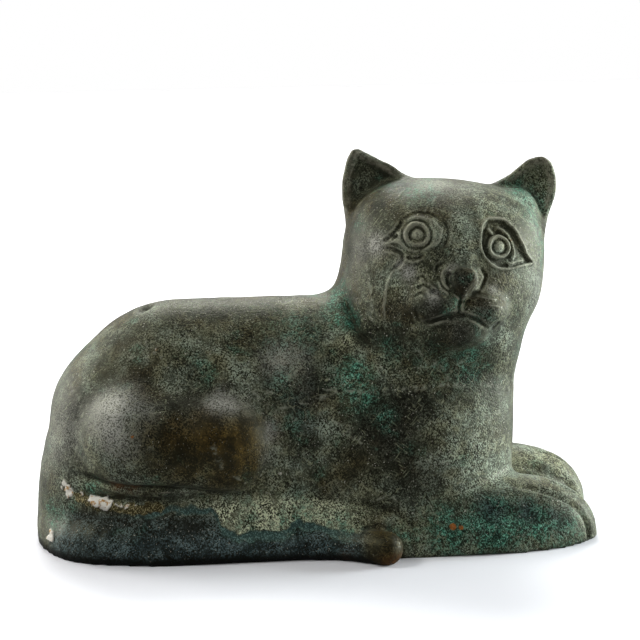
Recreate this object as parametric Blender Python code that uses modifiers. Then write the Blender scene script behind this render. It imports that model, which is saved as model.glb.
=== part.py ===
"""A small bronze cat, lying down with its head turned to its right, cast in one piece.

Blender 4.5, run with blender --background --python part.py. The scene is in metres, +Z up, with the
origin at the centre of the footprint. +X runs from the rump to the forepaws, -Y is the cat's right
side, which the head faces, and Z = 0 is the flat underside.

The figure is laid out in millimetres, from an origin under the middle of the body, as a modeller
adds clay: a list of masses, each an ellipsoid, a tube or a curved plate, that a smooth union joins
one after another. Lines are then drawn into the form. A Remesh modifier wraps a mesh round balls of
the masses' sizes, its points are moved onto the blended form, and a Decimate modifier thins all of
it but the face.
"""

import math

import bmesh
import bpy
import numpy as np
from mathutils import Matrix

MM = 0.001

# Driving dimensions, in millimetres.
RUMP_X = -68.2
BARREL_LENGTH = 108.4  # of the body, from the rump to where it ends inside the chest
BARREL_END = 35.2  # how far each end of it takes to round off
HALF_WIDTH = 23.4  # of the barrel, at the ground
BACK_HEIGHT = 57.8
HEAD_CENTRE = (30.3, -1.0, 63.0)
HEAD_YAW = math.radians(-2)  # the face looks to the cat's right, a little toward the rump
HEAD_PITCH = math.radians(15)  # and up
HEAD_ROLL = math.radians(5)  # and the head leans to its left
EAR_THICKNESS = 3.1
EAR_BOW = 0.04  # how much its edges come forward, per mm squared from its middle
EAR_SWELL = 0.75  # how much its back swells, per mm from its edge
EAR_DISH = 1.1  # how deep its front is hollowed
EAR_RIM = 1.0  # the width of the rim round that hollow
DISH_SLOPE = 1.4  # and how wide its side is
NOSE_LENGTH = 7.4  # from the tip to where it ends inside the muzzle

SINK = 4.0  # how far the masses go below the underside, which is cut flat at the end
VOXELS = (1.6, 0.8)  # cell sizes of the two remeshes
TRIANGLES = 9700
FACE_DEPTH = 8.0  # the face is what is this far forward of the head's centre
FACE_SPAN = ((-19.0, 20.5), (-15.5, 14.0))  # and within these, across it and up it
PAW_HEIGHT = 20.0  # the grooves between the toes are cut under this height

RIGHT, LEFT = -1, 1  # the sides of the body, as signs of Y, and of the head, as signs of its left


def head_axes():
    """The head's own forward, left and up, as columns."""
    level = np.array([math.sin(HEAD_YAW), -math.cos(HEAD_YAW), 0.0])
    left = np.array([math.cos(HEAD_YAW), math.sin(HEAD_YAW), 0.0])
    forward = level * math.cos(HEAD_PITCH) + np.array([0.0, 0.0, math.sin(HEAD_PITCH)])
    up = np.array([0.0, 0.0, math.cos(HEAD_PITCH)]) - level * math.sin(HEAD_PITCH)
    leaned_left = left * math.cos(HEAD_ROLL) - up * math.sin(HEAD_ROLL)
    leaned_up = up * math.cos(HEAD_ROLL) + left * math.sin(HEAD_ROLL)
    return np.column_stack([forward, leaned_left, leaned_up])


HEAD_AXES = head_axes()

# A frame is an origin and axes in columns: the way it is seen from, then across and up.
FACE = (np.array(HEAD_CENTRE), HEAD_AXES)
SIDES = {
    RIGHT: (np.zeros(3), np.array([[0, 1, 0], [-1, 0, 0], [0, 0, 1.0]])),
    LEFT: (np.zeros(3), np.array([[0, 1, 0], [1, 0, 0], [0, 0, 1.0]])),
}
UNDERSIDE = (np.zeros(3), np.array([[0, 1, 0], [0, 0, 1], [-1, 0, 0.0]]))


def on_head(forward, left, up):
    """A place given in the head's own axes, from its centre."""
    return np.array(HEAD_CENTRE) + HEAD_AXES @ np.array([forward, left, up], float)


def smooth_path(rows, steps=4):
    """Points along a Catmull-Rom curve through the rows."""
    rows = np.array(rows, float)
    padded = np.vstack([2 * rows[0] - rows[1], rows, 2 * rows[-1] - rows[-2]])
    found = []
    for a, b, c, d in zip(padded, padded[1:], padded[2:], padded[3:]):
        for t in np.arange(steps) / steps:
            bend = (2 * a - 5 * b + 4 * c - d) * t**2 + (3 * b - a - 3 * c + d) * t**3
            found.append(0.5 * (2 * b + (c - a) * t + bend))
    return np.array([*found, rows[-1]])


def path_distance(points, path):
    """How far each point is from a path, and how far along it the nearest place is, from 0 to 1."""
    nearest = np.full(len(points), np.inf)
    progress = np.zeros(len(points))
    for index, (start, end) in enumerate(zip(path[:-1], path[1:])):
        along = end - start
        t = np.clip((points - start) @ along / (along @ along + 1e-12), 0, 1)
        gap = np.linalg.norm(points - start - t[:, None] * along, axis=1)
        closer = gap < nearest
        nearest[closer] = gap[closer]
        progress[closer] = (index + t[closer]) / (len(path) - 1)
    return nearest, progress


def outline_distance(points, outline):
    """How far each point is outside a closed outline. It is negative inside."""
    inside = np.zeros(len(points), bool)
    for start, end in zip(outline[:-1], outline[1:]):
        crosses = (start[1] > points[:, 1]) != (end[1] > points[:, 1])
        rise = end[1] - start[1] + 1e-12
        at = start[0] + (points[:, 1] - start[1]) * (end[0] - start[0]) / rise
        inside ^= crosses & (points[:, 0] < at)
    return np.where(inside, -1, 1) * path_distance(points, outline)[0]


def union(first, second, soft):
    """The smooth union of two distances. The last number is the width of the fillet between them."""
    share = np.clip(0.5 + 0.5 * (second - first) / soft, 0, 1)
    return second * (1 - share) + first * share - soft * share * (1 - share)


class Ellipsoid:
    """An ellipsoid, drawn out by stretch along its axes and made boxier by a power over 2.

    The power shapes its sections across the first axis, and the profile, the same power unless it is
    given, shapes it along that axis. Soft, here and in each mass, is the width of the fillet that
    joins it to the masses before it.
    """

    def __init__(self, at, radii, soft, axes=None, stretch=(0, 0, 0), power=2.0, profile=None):
        self.at = np.array(at, float)
        self.radii = np.array(radii, float)
        self.soft = soft
        self.axes = np.eye(3) if axes is None else axes
        self.stretch = np.array(stretch, float)
        self.power = power
        self.profile = profile or power

    def distance(self, points):
        local = (points - self.at) @ self.axes
        local = local - np.clip(local, -self.stretch, self.stretch)
        share = np.abs(local) / self.radii + 1e-9
        section = (share[:, 1:] ** self.power).sum(axis=1) ** (1 / self.power)
        size = (share[:, 0] ** self.profile + section**self.profile) ** (1 / self.profile)
        slope = np.empty_like(share)
        slope[:, 0] = (share[:, 0] / size) ** (self.profile - 1)
        around = (section / size) ** (self.profile - 1)
        slope[:, 1:] = around[:, None] * (share[:, 1:] / section[:, None]) ** (self.power - 1)
        return (size - 1) / np.linalg.norm(slope / self.radii, axis=1)

    def add_blank(self, mesh):
        ball = bmesh.ops.create_icosphere(mesh, subdivisions=4, radius=1)["verts"]
        for vert in ball:
            unit = np.array(vert.co)
            unit /= (np.abs(unit) ** self.power).sum() ** (1 / self.power)
            local = unit * self.radii + np.sign(unit) * self.stretch
            vert.co = self.at + self.axes @ local


class Tube:
    """A round tube along a smooth path, with a radius at each of the path's points."""

    def __init__(self, path, radii, soft):
        self.rows = smooth_path(np.column_stack([np.array(path, float), radii]))
        self.soft = soft

    def distance(self, points):
        nearest = np.full(len(points), np.inf)
        for start, end in zip(self.rows[:-1], self.rows[1:]):
            along = end[:3] - start[:3]
            t = np.clip((points - start[:3]) @ along / (along @ along), 0, 1)
            radius = start[3] + (end[3] - start[3]) * t
            gap = np.linalg.norm(points - start[:3] - t[:, None] * along, axis=1) - radius
            nearest = np.minimum(nearest, gap)
        return nearest

    def add_blank(self, mesh):
        for *place, radius in self.rows:
            ball = bmesh.ops.create_icosphere(mesh, subdivisions=2, radius=radius)["verts"]
            bmesh.ops.translate(mesh, vec=place, verts=ball)


class Plate:
    """A plate on the head: an outline seen from the front, filled in and bowed forward at its edges.

    Its back swells by a share of how far in from the outline a place is, and its front is dished
    inside a rim. The rounding is that of its edge.
    """

    def __init__(self, outline, middle, bow, swell, dish, thickness, soft, rounding):
        self.outline = smooth_path([*outline, outline[0]])
        self.middle = np.array(middle, float)
        self.bow = bow
        self.swell = swell
        self.dish = dish
        self.thickness = thickness
        self.soft = soft
        self.rounding = rounding

    def distance(self, points):
        local = (points - np.array(HEAD_CENTRE)) @ HEAD_AXES
        across = ((local[:, 1:] - self.middle[1:]) ** 2).sum(axis=1)
        edge = outline_distance(local[:, 1:], self.outline)
        ahead = local[:, 0] - self.middle[0] - self.bow * across
        inward = np.minimum(edge + EAR_RIM, 0) / DISH_SLOPE
        ahead += self.dish * (1 - np.exp(-(inward**2)))
        behind = -ahead - self.swell * np.clip(-edge, 0, self.thickness * 2)
        depth = np.maximum(ahead, behind) - self.thickness / 2
        face = depth / np.sqrt(1 + (2 * self.bow) ** 2 * across)
        return -union(-face, -edge, self.rounding)

    def add_blank(self, mesh):
        centre = self.outline.mean(axis=0)
        for share in (0.0, 0.4, 0.8):
            for place in centre + (self.outline - centre) * share:
                across = place - self.middle[1:]
                forward = self.middle[0] + self.bow * (across @ across)
                radius = self.thickness * 0.7
                ball = bmesh.ops.create_icosphere(mesh, subdivisions=2, radius=radius)["verts"]
                bmesh.ops.translate(mesh, vec=on_head(forward, *place), verts=ball)


class Line:
    """A groove, or a ridge where the depth is negative, along a path seen in a frame.

    It is cut only where the frame's first coordinate is over the limit, and it fades in and out
    over a share of its length.
    """

    def __init__(self, frame, path, width, depth, limit, fade=0.0):
        self.origin, self.axes = frame
        self.path = smooth_path(path)
        self.width = width
        self.depth = depth
        self.limit = limit
        self.fade = fade

    def offset(self, points):
        local = (points - self.origin) @ self.axes
        low = self.path.min(axis=0) - 3 * self.width
        high = self.path.max(axis=0) + 3 * self.width
        within = ((local[:, 1:] > low) & (local[:, 1:] < high)).all(axis=1)
        near = within & (local[:, 0] > self.limit)
        gap, along = path_distance(local[near, 1:], self.path)
        cut = self.depth * np.exp(-((gap / self.width) ** 2))
        if self.fade:
            cut *= np.clip(np.minimum(along, 1 - along) / self.fade, 0, 1)
        found = np.zeros(len(points))
        found[near] = cut
        return found


def body_masses():
    barrel_x = RUMP_X + BARREL_LENGTH / 2
    barrel_stretch = BARREL_LENGTH / 2 - BARREL_END
    barrel_radii = (BARREL_END, HALF_WIDTH, BACK_HEIGHT)
    masses = [
        Ellipsoid((barrel_x, 0.5, 0), barrel_radii, 1, stretch=(barrel_stretch, 0, 0), power=2.2),
        # The croup, the column of the chest and neck, and the throat.
        Ellipsoid((-45.5, 0.5, 33), (17.6, 17, 14), 4),
        Ellipsoid((25.8, 0, 18), (21.7, 21, 25), 7, stretch=(0, 0, 30), power=2.2),
        Ellipsoid((33, 0, 47), (15.5, 18, 10), 5),
    ]
    for side in (RIGHT, LEFT):
        masses += [
            # The haunch with its hip and knee, the shoulder, and the hind foot.
            Ellipsoid((-37.5, side * 11.5, 27), (20, 14.5, 14.5), 2.5, power=2.2),
            Ellipsoid((-47, side * 12.8, 28.5), (10.2, 12, 13.5), 2.5),
            Ellipsoid((-27, side * 15.3, 26.5), (14, 11.2, 12.8), 1.2, power=2.3),
            Ellipsoid((21, side * 9, 24), (21, 14, 26), 6),
            Ellipsoid((-17, side * 15.7, 0), (12, 8.2, 13.4), 1, stretch=(22, 0, 0), power=2.8),
        ]
    return masses + [
        # The forelegs, paw then forearm. The left one is a little ahead.
        Ellipsoid((41, -13.8, 0), (25.3, 12.4, 15.2), 3, power=2.3),
        Ellipsoid((26, -14.5, 2), (22, 12.2, 13), 4, stretch=(8, 0, 0)),
        Ellipsoid((43, 12.5, 0), (26.5, 12.2, 15.4), 3, power=2.3),
        Ellipsoid((26, 13, 2), (22, 12.2, 13), 4, stretch=(8, 0, 0)),
    ]


def tail():
    """The tail, from inside the rump round the right side to its tip beside the hind toes."""
    rows = [
        (-58, 6, 3, 8.5),
        (-60, -5, 3, 7.9),
        (-56, -13, 3, 7.6),
        (-46, -17.8, 2.8, 5.9),
        (-32, -20.6, 2.6, 4.6),
        (-18, -21, 2.6, 4.3),
        (-6, -21.3, 2.6, 4.2),
        (3, -23.5, 3, 4.0),
        (9, -27, 3.4, 4.0),
        (12, -29.2, 3.6, 4.0),
    ]
    return Tube([row[:3] for row in rows], [row[3] for row in rows], 1.0)


# Each ear seen from the front: left and up from the head's centre.
EAR_OUTLINES = {
    RIGHT: [
        (-9, 14), (-9.5, 21), (-13, 24.6), (-17, 26.4), (-20.5, 27.8), (-22.6, 28.4), (-24, 27.6),
        (-24.9, 24.6), (-25.3, 20), (-25, 15), (-23.4, 10), (-19, 6), (-13, 8),
    ],
    LEFT: [
        (10, 14), (10.5, 21), (15, 24.9), (17.3, 27), (19.4, 28.9), (22.4, 29.6), (24.6, 28.3),
        (26, 25.6), (26.6, 21.9), (26, 18), (24.4, 13), (22, 9), (18.5, 6), (13, 8),
    ],
}  # fmt: skip
NOSE_OUTLINE = [
    (-1.6, -0.6), (1, 0.7), (3.9, -0.1), (4.7, -2.3), (2.9, -5), (1.4, -6.3), (-0.8, -3.9),
]  # fmt: skip


def head_masses():
    def mass(forward, left, up, radii, soft, power=2.0, profile=None):
        at = on_head(forward, left, up)
        return Ellipsoid(at, radii, soft, HEAD_AXES, power=power, profile=profile)

    bridge = [on_head(14.5, 0.4, 8), on_head(16.6, 0.8, 2), on_head(18.4, 1.3, -2.4)]
    masses = [
        # The skull, the jaw, the brow that runs up into the left ear, and the chin.
        mass(-2, 0, 2.6, (21.5, 24.4, 20.1), 1, 2.65, 2.1),
        mass(2, 0, -9, (16.5, 17, 12), 6),
        mass(-3.5, 17.2, 14.2, (7, 5.6, 7.8), 4),
        mass(16, 1.8, -14.2, (5, 6.5, 4), 3),
        # The two whisker pads, the bridge of the nose and its tip.
        mass(16.5, -3.4, -8.3, (5.5, 6.8, 4.8), 2),
        mass(16.2, 6.6, -9, (5.3, 6.2, 4.6), 2.5),
        Tube(bridge, [3.4, 3.2, 3], 3),
        Plate(NOSE_OUTLINE, (19.2, 1.4, -2.4), 0, 0, 0, NOSE_LENGTH, 0.8, 1.6),
    ]
    for side in (RIGHT, LEFT):
        middle = (-4.5, side * 19, 19)
        shape = (EAR_BOW, EAR_SWELL, EAR_DISH, EAR_THICKNESS)
        masses.append(Plate(EAR_OUTLINES[side], middle, *shape, 2.5, EAR_THICKNESS * 0.6))
    return masses


def ring(across, up, radius):
    turns = np.linspace(0, 2 * math.pi, 13)
    return [(across + radius * math.cos(turn), up + radius * math.sin(turn)) for turn in turns]


def face_lines():
    mouth = [(-7.4, -13.2), (-4.5, -12.3), (-2.1, -11.4), (0.8, -10.5), (4.6, -11.1), (8.8, -13.6)]
    philtrum = [(1.3, -6.6), (1.2, -8.2), (1, -10)]
    nose_sides = [[(-2, 0.8), (-2.4, -2), (-1.4, -4.6)], [(5, 1), (6.3, -1.6), (5.4, -4.8)]]
    right_lid = [
        (-17.8, 5.2), (-15.2, 5.9), (-13.4, 8.2), (-11.4, 11.4), (-8.7, 12.4), (-5.4, 11.6),
        (-3, 9), (-3.9, 5.8), (-6.3, 3.8), (-10, 2.6), (-13.9, 4.4), (-17.8, 5.2),
    ]  # fmt: skip
    left_lid = [
        (5.6, 7.4), (6.3, 11.2), (8.8, 12.6), (12.2, 12), (14.8, 9.5), (17, 5.8), (19.3, 3),
        (15.3, 1.7), (11.4, 1), (7.8, 2.4), (5.8, 5), (5.6, 7.4),
    ]  # fmt: skip
    lines = [
        Line(FACE, mouth, 0.7, 0.9, 8, 0.1),
        Line(FACE, philtrum, 0.6, 0.6, 8),
        Line(FACE, right_lid, 0.6, 0.7, 5),
        Line(FACE, left_lid, 0.7, 1.0, 5),
    ]
    lines += [Line(FACE, path, 0.6, 0.7, 10, 0.2) for path in nose_sides]
    for across, up in ((-9.3, 7.5), (10.2, 6)):
        lines.append(Line(FACE, ring(across, up, 2.7), 0.6, -0.5, 5))
        lines.append(Line(FACE, ring(across, up, 0.1), 0.9, -0.6, 5))
    return lines


def neck_lines():
    """The crease where the right jowl meets the neck, and the hollow of the throat under the jaw."""
    jowl = [(-28, -7), (-26.5, -12.5), (-24, -17.5), (-20, -21.5), (-15, -24)]
    throat = [(-19, -20.5), (-10, -22.5), (0, -23.2), (10, -22.4), (17, -20.5)]
    return [Line(FACE, jowl, 1.3, 1.7, 0, 0.25), Line(FACE, throat, 4.4, 1.5, 2, 0.35)]


def body_lines():
    under_haunch = [(-61, 20.2), (-56, 20), (-50, 19.4), (-40, 19), (-31, 18), (-20, 16.3)]
    above_foot = [(-64, 16), (-52, 15.8), (-40, 15.8), (-28, 16), (-18, 16)]
    round_toes = [
        (-24, 16.2), (-10, 15), (0, 13.4), (8, 12), (14.5, 10.2), (18, 7.4), (19.6, 3.6), (20, 0),
    ]  # fmt: skip
    foreleg = [(26, 10), (34, 9.3), (43, 8.7), (52, 8.3)]
    lines = []
    for frame in SIDES.values():
        lines += [
            Line(frame, under_haunch, 1.5, 1.3, 6, 0.1),
            Line(frame, above_foot, 1.5, 1.6, 6, 0.1),
            Line(frame, round_toes, 1.4, 1.2, 6, 0.1),
            Line(frame, foreleg, 2.2, 1.2, 6, 0.4),
        ]
    return lines


def toe_lines():
    """The grooves between the toes of the forepaws: where each starts, its Y there and its Y in front."""
    lines = []
    for start, y_start, y_front in (
        (42, -19, -20.8),
        (52, -13.5, -15.6),
        (54, -8.8, -9.5),
        (50, 4.5, 6),
        (56, 10.5, 12),
        (56, 17, 18.5),
    ):
        path = [(start, y_start), (59, (y_start + y_front) / 2), (65, y_front), (75, y_front)]
        lines.append(Line(UNDERSIDE, path, 0.8, 0.9, -PAW_HEIGHT, 0.2))
    return lines


BODY, TAIL, HEAD = body_masses(), [tail()], head_masses()
LINES = face_lines() + neck_lines() + body_lines() + toe_lines()
HEAD_LOWEST = HEAD_CENTRE[2] - 28  # the masses of the head stay over this height
BODY_HIGHEST = HEAD_CENTRE[2] + 20  # and those of the body under this one
FAR = 99.0


def joined(masses, points):
    total = masses[0].distance(points)
    for mass in masses[1:]:
        total = union(total, mass.distance(points), mass.soft)
    return total


def form(points):
    """How far each point is outside the finished form, in millimetres. It is negative inside."""
    low = points[:, 2] < BODY_HIGHEST
    high = points[:, 2] > HEAD_LOWEST
    body, head = np.full(len(points), FAR), np.full(len(points), FAR)
    body[low] = union(joined(BODY, points[low]), joined(TAIL, points[low]), 1.5)
    head[high] = joined(HEAD, points[high])
    figure = union(body, head, 4)
    for line in LINES:
        figure = figure + line.offset(points)
    return np.maximum(figure, -SINK - points[:, 2])


def blank():
    """Balls of the masses' sizes, as one loose mesh, flattened where they go below the ground."""
    mesh = bmesh.new()
    for mass in BODY + TAIL + HEAD:
        mass.add_blank(mesh)
    for vert in mesh.verts:
        vert.co.z = max(vert.co.z, -SINK)
    return mesh


def with_modifier(obj, kind, **settings):
    """Applies a modifier by taking the mesh that it makes."""
    modifier = obj.modifiers.new(kind, kind)
    for name, value in settings.items():
        setattr(modifier, name, value)
    bpy.context.view_layer.update()
    graph = bpy.context.evaluated_depsgraph_get()
    made = bpy.data.meshes.new_from_object(obj.evaluated_get(graph))
    obj.modifiers.clear()
    obj.data = made


def settle(obj, rounds=6, share=0.8, longest=0.8):
    """Moves the mesh's points onto the form, a share of the way each round, along its own normals."""
    mesh = obj.data
    count = len(mesh.vertices) * 3
    for _ in range(rounds):
        points, normals = np.empty(count, np.float32), np.empty(count, np.float32)
        mesh.vertices.foreach_get("co", points)
        mesh.vertex_normals.foreach_get("vector", normals)
        points = points.reshape(-1, 3).astype(float)
        move = np.clip(share * form(points), -longest, longest)
        points -= move[:, None] * normals.reshape(-1, 3)
        mesh.vertices.foreach_set("co", points.astype(np.float32).ravel())
        mesh.update()


def thin(obj, triangles):
    """Decimates the mesh to about this many triangles, none of them taken from the face."""
    points = np.array([vert.co for vert in obj.data.vertices])
    local = (points - np.array(HEAD_CENTRE)) @ HEAD_AXES
    kept = local[:, 0] > FACE_DEPTH
    for axis, (low, high) in zip((1, 2), FACE_SPAN):
        kept &= (local[:, axis] > low) & (local[:, axis] < high)
    group = obj.vertex_groups.new(name="thinned")
    group.add(np.flatnonzero(~kept).tolist(), 1.0, "REPLACE")
    ratio = triangles / (2 * len(obj.data.polygons))
    with_modifier(obj, "DECIMATE", ratio=ratio, vertex_group=group.name)
    obj.vertex_groups.clear()


def cut_flat(obj):
    """Cuts off what is below the underside and closes it with one flat face."""
    mesh = bmesh.new()
    mesh.from_mesh(obj.data)
    whole = [*mesh.verts, *mesh.edges, *mesh.faces]
    level, up = (0, 0, 0), (0, 0, 1)
    bmesh.ops.bisect_plane(mesh, geom=whole, dist=1e-6, plane_co=level, plane_no=up, clear_inner=True)
    bmesh.ops.holes_fill(mesh, edges=[edge for edge in mesh.edges if edge.is_boundary])
    bmesh.ops.triangulate(mesh, faces=[face for face in mesh.faces if len(face.verts) > 3])
    mesh.to_mesh(obj.data)
    mesh.free()


def make_cat(voxels=VOXELS, triangles=TRIANGLES):
    mesh = bpy.data.meshes.new("bronze_cat")
    balls = blank()
    balls.to_mesh(mesh)
    balls.free()
    obj = bpy.data.objects.new("bronze_cat", mesh)
    bpy.context.scene.collection.objects.link(obj)
    for size in voxels:
        with_modifier(obj, "REMESH", mode="VOXEL", voxel_size=size)
        settle(obj)
        with_modifier(obj, "SMOOTH", factor=0.5, iterations=6)
        settle(obj)
    thin(obj, triangles)
    cut_flat(obj)
    obj.data.transform(Matrix.Scale(MM, 4))
    return obj


def bronze():
    material = bpy.data.materials.new("bronze_patina")
    material.use_nodes = True
    shader = material.node_tree.nodes["Principled BSDF"]
    shader.inputs["Base Color"].default_value = (0.055, 0.065, 0.045, 1)
    shader.inputs["Roughness"].default_value = 0.42
    shader.inputs["Metallic"].default_value = 0.6
    return material


def main():
    for old in list(bpy.data.objects):
        bpy.data.objects.remove(old)
    cat = make_cat()
    bpy.context.scene.collection.objects.unlink(cat)
    collection = bpy.data.collections.new("cat_sculpture")
    bpy.context.scene.collection.children.link(collection)
    collection.objects.link(cat)
    cat.data.materials.append(bronze())
    cat.data.shade_smooth()


if __name__ == "__main__":
    main()
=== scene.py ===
"""The bronze cat dressed: its fine relief, its aged bronze surface, the floor, the light and the camera.

The figure is laid out in millimetres from the same masses as the solid, with the relief of the face,
the toes, the creases and the deposits added, and a fine mesh is settled onto the blended form.
"""

import math
from types import SimpleNamespace

import bmesh
import bpy
import numpy as np
from mathutils import Matrix, Vector


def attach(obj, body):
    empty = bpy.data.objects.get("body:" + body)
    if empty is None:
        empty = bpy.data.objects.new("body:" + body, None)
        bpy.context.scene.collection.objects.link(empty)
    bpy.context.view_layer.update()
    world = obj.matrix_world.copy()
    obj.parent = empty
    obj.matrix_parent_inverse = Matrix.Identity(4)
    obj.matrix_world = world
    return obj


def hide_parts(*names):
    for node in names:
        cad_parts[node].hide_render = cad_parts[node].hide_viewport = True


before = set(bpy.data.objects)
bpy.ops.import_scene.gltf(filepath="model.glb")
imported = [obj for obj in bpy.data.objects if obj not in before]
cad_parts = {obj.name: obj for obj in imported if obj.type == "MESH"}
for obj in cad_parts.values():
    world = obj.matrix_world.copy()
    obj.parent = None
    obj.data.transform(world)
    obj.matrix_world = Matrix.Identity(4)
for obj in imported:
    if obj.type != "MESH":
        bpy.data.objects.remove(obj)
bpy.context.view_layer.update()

MM = 0.001

# ---------------- the form, in millimetres

RUMP_X = -68.2
BARREL_LENGTH = 108.4
BARREL_END = 35.2
HALF_WIDTH = 23.4
BACK_HEIGHT = 57.8
HEAD_CENTRE = np.array([30.3, -1.0, 63.0])
HEAD_YAW = math.radians(-2)
HEAD_PITCH = math.radians(15)
HEAD_ROLL = math.radians(5)
EAR_THICKNESS = 3.1
EAR_BOW = 0.04  # how much its edges come forward, per mm squared from its middle
EAR_SWELL = 0.75  # how much its back swells, per mm from its edge
EAR_DISH = 1.1  # how deep its front is hollowed
EAR_RIM = 1.0
DISH_SLOPE = 1.4
NOSE_LENGTH = 7.4
RIGHT, LEFT = -1, 1
FAR = 99.0
REACH = 5.0  # how far outside a mass its distance still matters
PATH_STEPS = 4


def turned(axes, angle, first, second):
    """The axes, which are columns, with the first of two turned towards the second."""
    made = axes.copy()
    made[:, first] = axes[:, first] * math.cos(angle) + axes[:, second] * math.sin(angle)
    made[:, second] = axes[:, second] * math.cos(angle) - axes[:, first] * math.sin(angle)
    return made


# A view is an origin and its axes: towards the viewer, then the two that its paths are drawn in.
SIDES = {side: (np.zeros(3), np.array([[0, 1, 0], [side, 0, 0], [0, 0, 1.0]])) for side in (RIGHT, LEFT)}
UNDERSIDE = (np.zeros(3), np.array([[0, 1, 0], [0, 0, 1], [-1, 0, 0.0]]))
HEAD_LEVEL = turned(SIDES[RIGHT][1], HEAD_YAW, 0, 1)
HEAD_AXES = turned(turned(HEAD_LEVEL, HEAD_PITCH, 0, 2), -HEAD_ROLL, 1, 2)  # forward, left and up
FACE = (HEAD_CENTRE, HEAD_AXES)


def seen_in(view, points):
    origin, axes = view
    return (points - origin) @ axes


def in_head(points):
    """The points' places forward, left and up of the head's centre."""
    return seen_in(FACE, points)


def on_head(forward, left, up):
    return HEAD_CENTRE + HEAD_AXES @ np.array([forward, left, up], float)


def smooth_path(rows):
    """Points along a Catmull-Rom curve through the rows."""
    rows = np.array(rows, float)
    padded = np.vstack([2 * rows[0] - rows[1], rows, 2 * rows[-1] - rows[-2]])
    found = []
    for a, b, c, d in zip(padded, padded[1:], padded[2:], padded[3:]):
        for t in np.arange(PATH_STEPS) / PATH_STEPS:
            bend = (2 * a - 5 * b + 4 * c - d) * t**2 + (3 * b - a - 3 * c + d) * t**3
            found.append(0.5 * (2 * b + (c - a) * t + bend))
    return np.array([*found, rows[-1]])


def path_distance(points, path, radii=None):
    """How far each point is outside a path, and how far along it the nearest place is, from 0 to 1."""
    radii = np.zeros(len(path)) if radii is None else radii
    nearest = np.full(len(points), np.inf)
    progress = np.zeros(len(points))
    for index, (start, end) in enumerate(zip(path[:-1], path[1:])):
        along = end - start
        t = np.clip((points - start) @ along / (along @ along + 1e-12), 0, 1)
        gap = np.linalg.norm(points - start - t[:, None] * along, axis=1)
        gap -= radii[index] + (radii[index + 1] - radii[index]) * t
        closer = gap < nearest
        nearest[closer] = gap[closer]
        progress[closer] = (index + t[closer]) / (len(path) - 1)
    return nearest, progress


def outline_distance(points, outline):
    """How far each point is outside a closed outline. It is negative inside."""
    inside = np.zeros(len(points), bool)
    for start, end in zip(outline[:-1], outline[1:]):
        crosses = (start[1] > points[:, 1]) != (end[1] > points[:, 1])
        rise = end[1] - start[1] + 1e-12
        at = start[0] + (points[:, 1] - start[1]) * (end[0] - start[0]) / rise
        inside ^= crosses & (points[:, 0] < at)
    return np.where(inside, -1, 1) * path_distance(points, outline)[0]


def union(first, second, soft):
    """The distance to two forms together, blended over a width."""
    share = np.clip(0.5 + 0.5 * (second - first) / soft, 0, 1)
    return second * (1 - share) + first * share - soft * share * (1 - share)


def step(values, low, high):
    """0 below the low value, rising smoothly to 1 at the high one."""
    share = np.clip((values - low) / (high - low), 0, 1)
    return share * share * (3 - 2 * share)


def noise(points, size, seed, octaves=1):
    """Smooth value noise, from -1 to 1, whose bumps are about the size across."""
    total, weight, weights = 0.0, 1.0, 0.0
    for octave in range(octaves):
        # Each seed and octave has its own part of the pattern.
        place = points * (2.0**octave / size) + seed * 17.31 + octave * 5.7
        cell = np.floor(place).astype(np.int64)
        share = step(place - cell, 0, 1)
        value = np.zeros(len(points))
        for corner in range(8):
            shift = np.array([corner & 1, corner >> 1 & 1, corner >> 2 & 1])
            key = (cell + shift) @ np.array([73856093, 19349663, 83492791])
            key = (key ^ (key >> 13)) * 1274126177 & 0x7FFFFFFF
            key = (key ^ (key >> 16)) & 0xFFFF
            value += (key / 32767.5 - 1) * np.where(shift, share, 1 - share).prod(axis=1)
        total = total + weight * value
        weights += weight
        weight *= 0.5
    return total / weights


class Ellipsoid:
    """An ellipsoid, drawn out by stretch along its axes, and boxier where a power is over 2.

    The power shapes its sections across its first axis, and the profile shapes it along that axis. Soft,
    here and in each mass, is the width of the fillet that joins it to the masses before it.
    """

    def __init__(self, at, radii, soft, axes=None, stretch=(0, 0, 0), power=2.0, profile=None):
        self.at = np.array(at, float)
        self.radii = np.array(radii, float)
        self.soft = soft
        self.axes = np.eye(3) if axes is None else axes
        self.stretch = np.array(stretch, float)
        self.power = power
        self.profile = profile or power
        half = np.abs(self.axes) @ (self.radii + self.stretch) + soft + REACH
        self.low, self.high = self.at - half, self.at + half

    def distance(self, points):
        local = (points - self.at) @ self.axes
        local = local - np.clip(local, -self.stretch, self.stretch)
        share = np.abs(local) / self.radii + 1e-9
        section = (share[:, 1:] ** self.power).sum(axis=1) ** (1 / self.power)
        size = (share[:, 0] ** self.profile + section**self.profile) ** (1 / self.profile)
        slope = np.empty_like(share)
        slope[:, 0] = (share[:, 0] / size) ** (self.profile - 1)
        around = (section / size) ** (self.profile - 1)
        slope[:, 1:] = around[:, None] * (share[:, 1:] / section[:, None]) ** (self.power - 1)
        return (size - 1) / np.linalg.norm(slope / self.radii, axis=1)


class Tube:
    """A round tube through rows of a place and a radius."""

    def __init__(self, rows, soft):
        rows = smooth_path(rows)
        self.path, self.radii = rows[:, :3], rows[:, 3]
        self.soft = soft
        half = self.radii.max() + soft + REACH
        self.low, self.high = self.path.min(axis=0) - half, self.path.max(axis=0) + half

    def distance(self, points):
        return path_distance(points, self.path, self.radii)[0]


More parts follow.
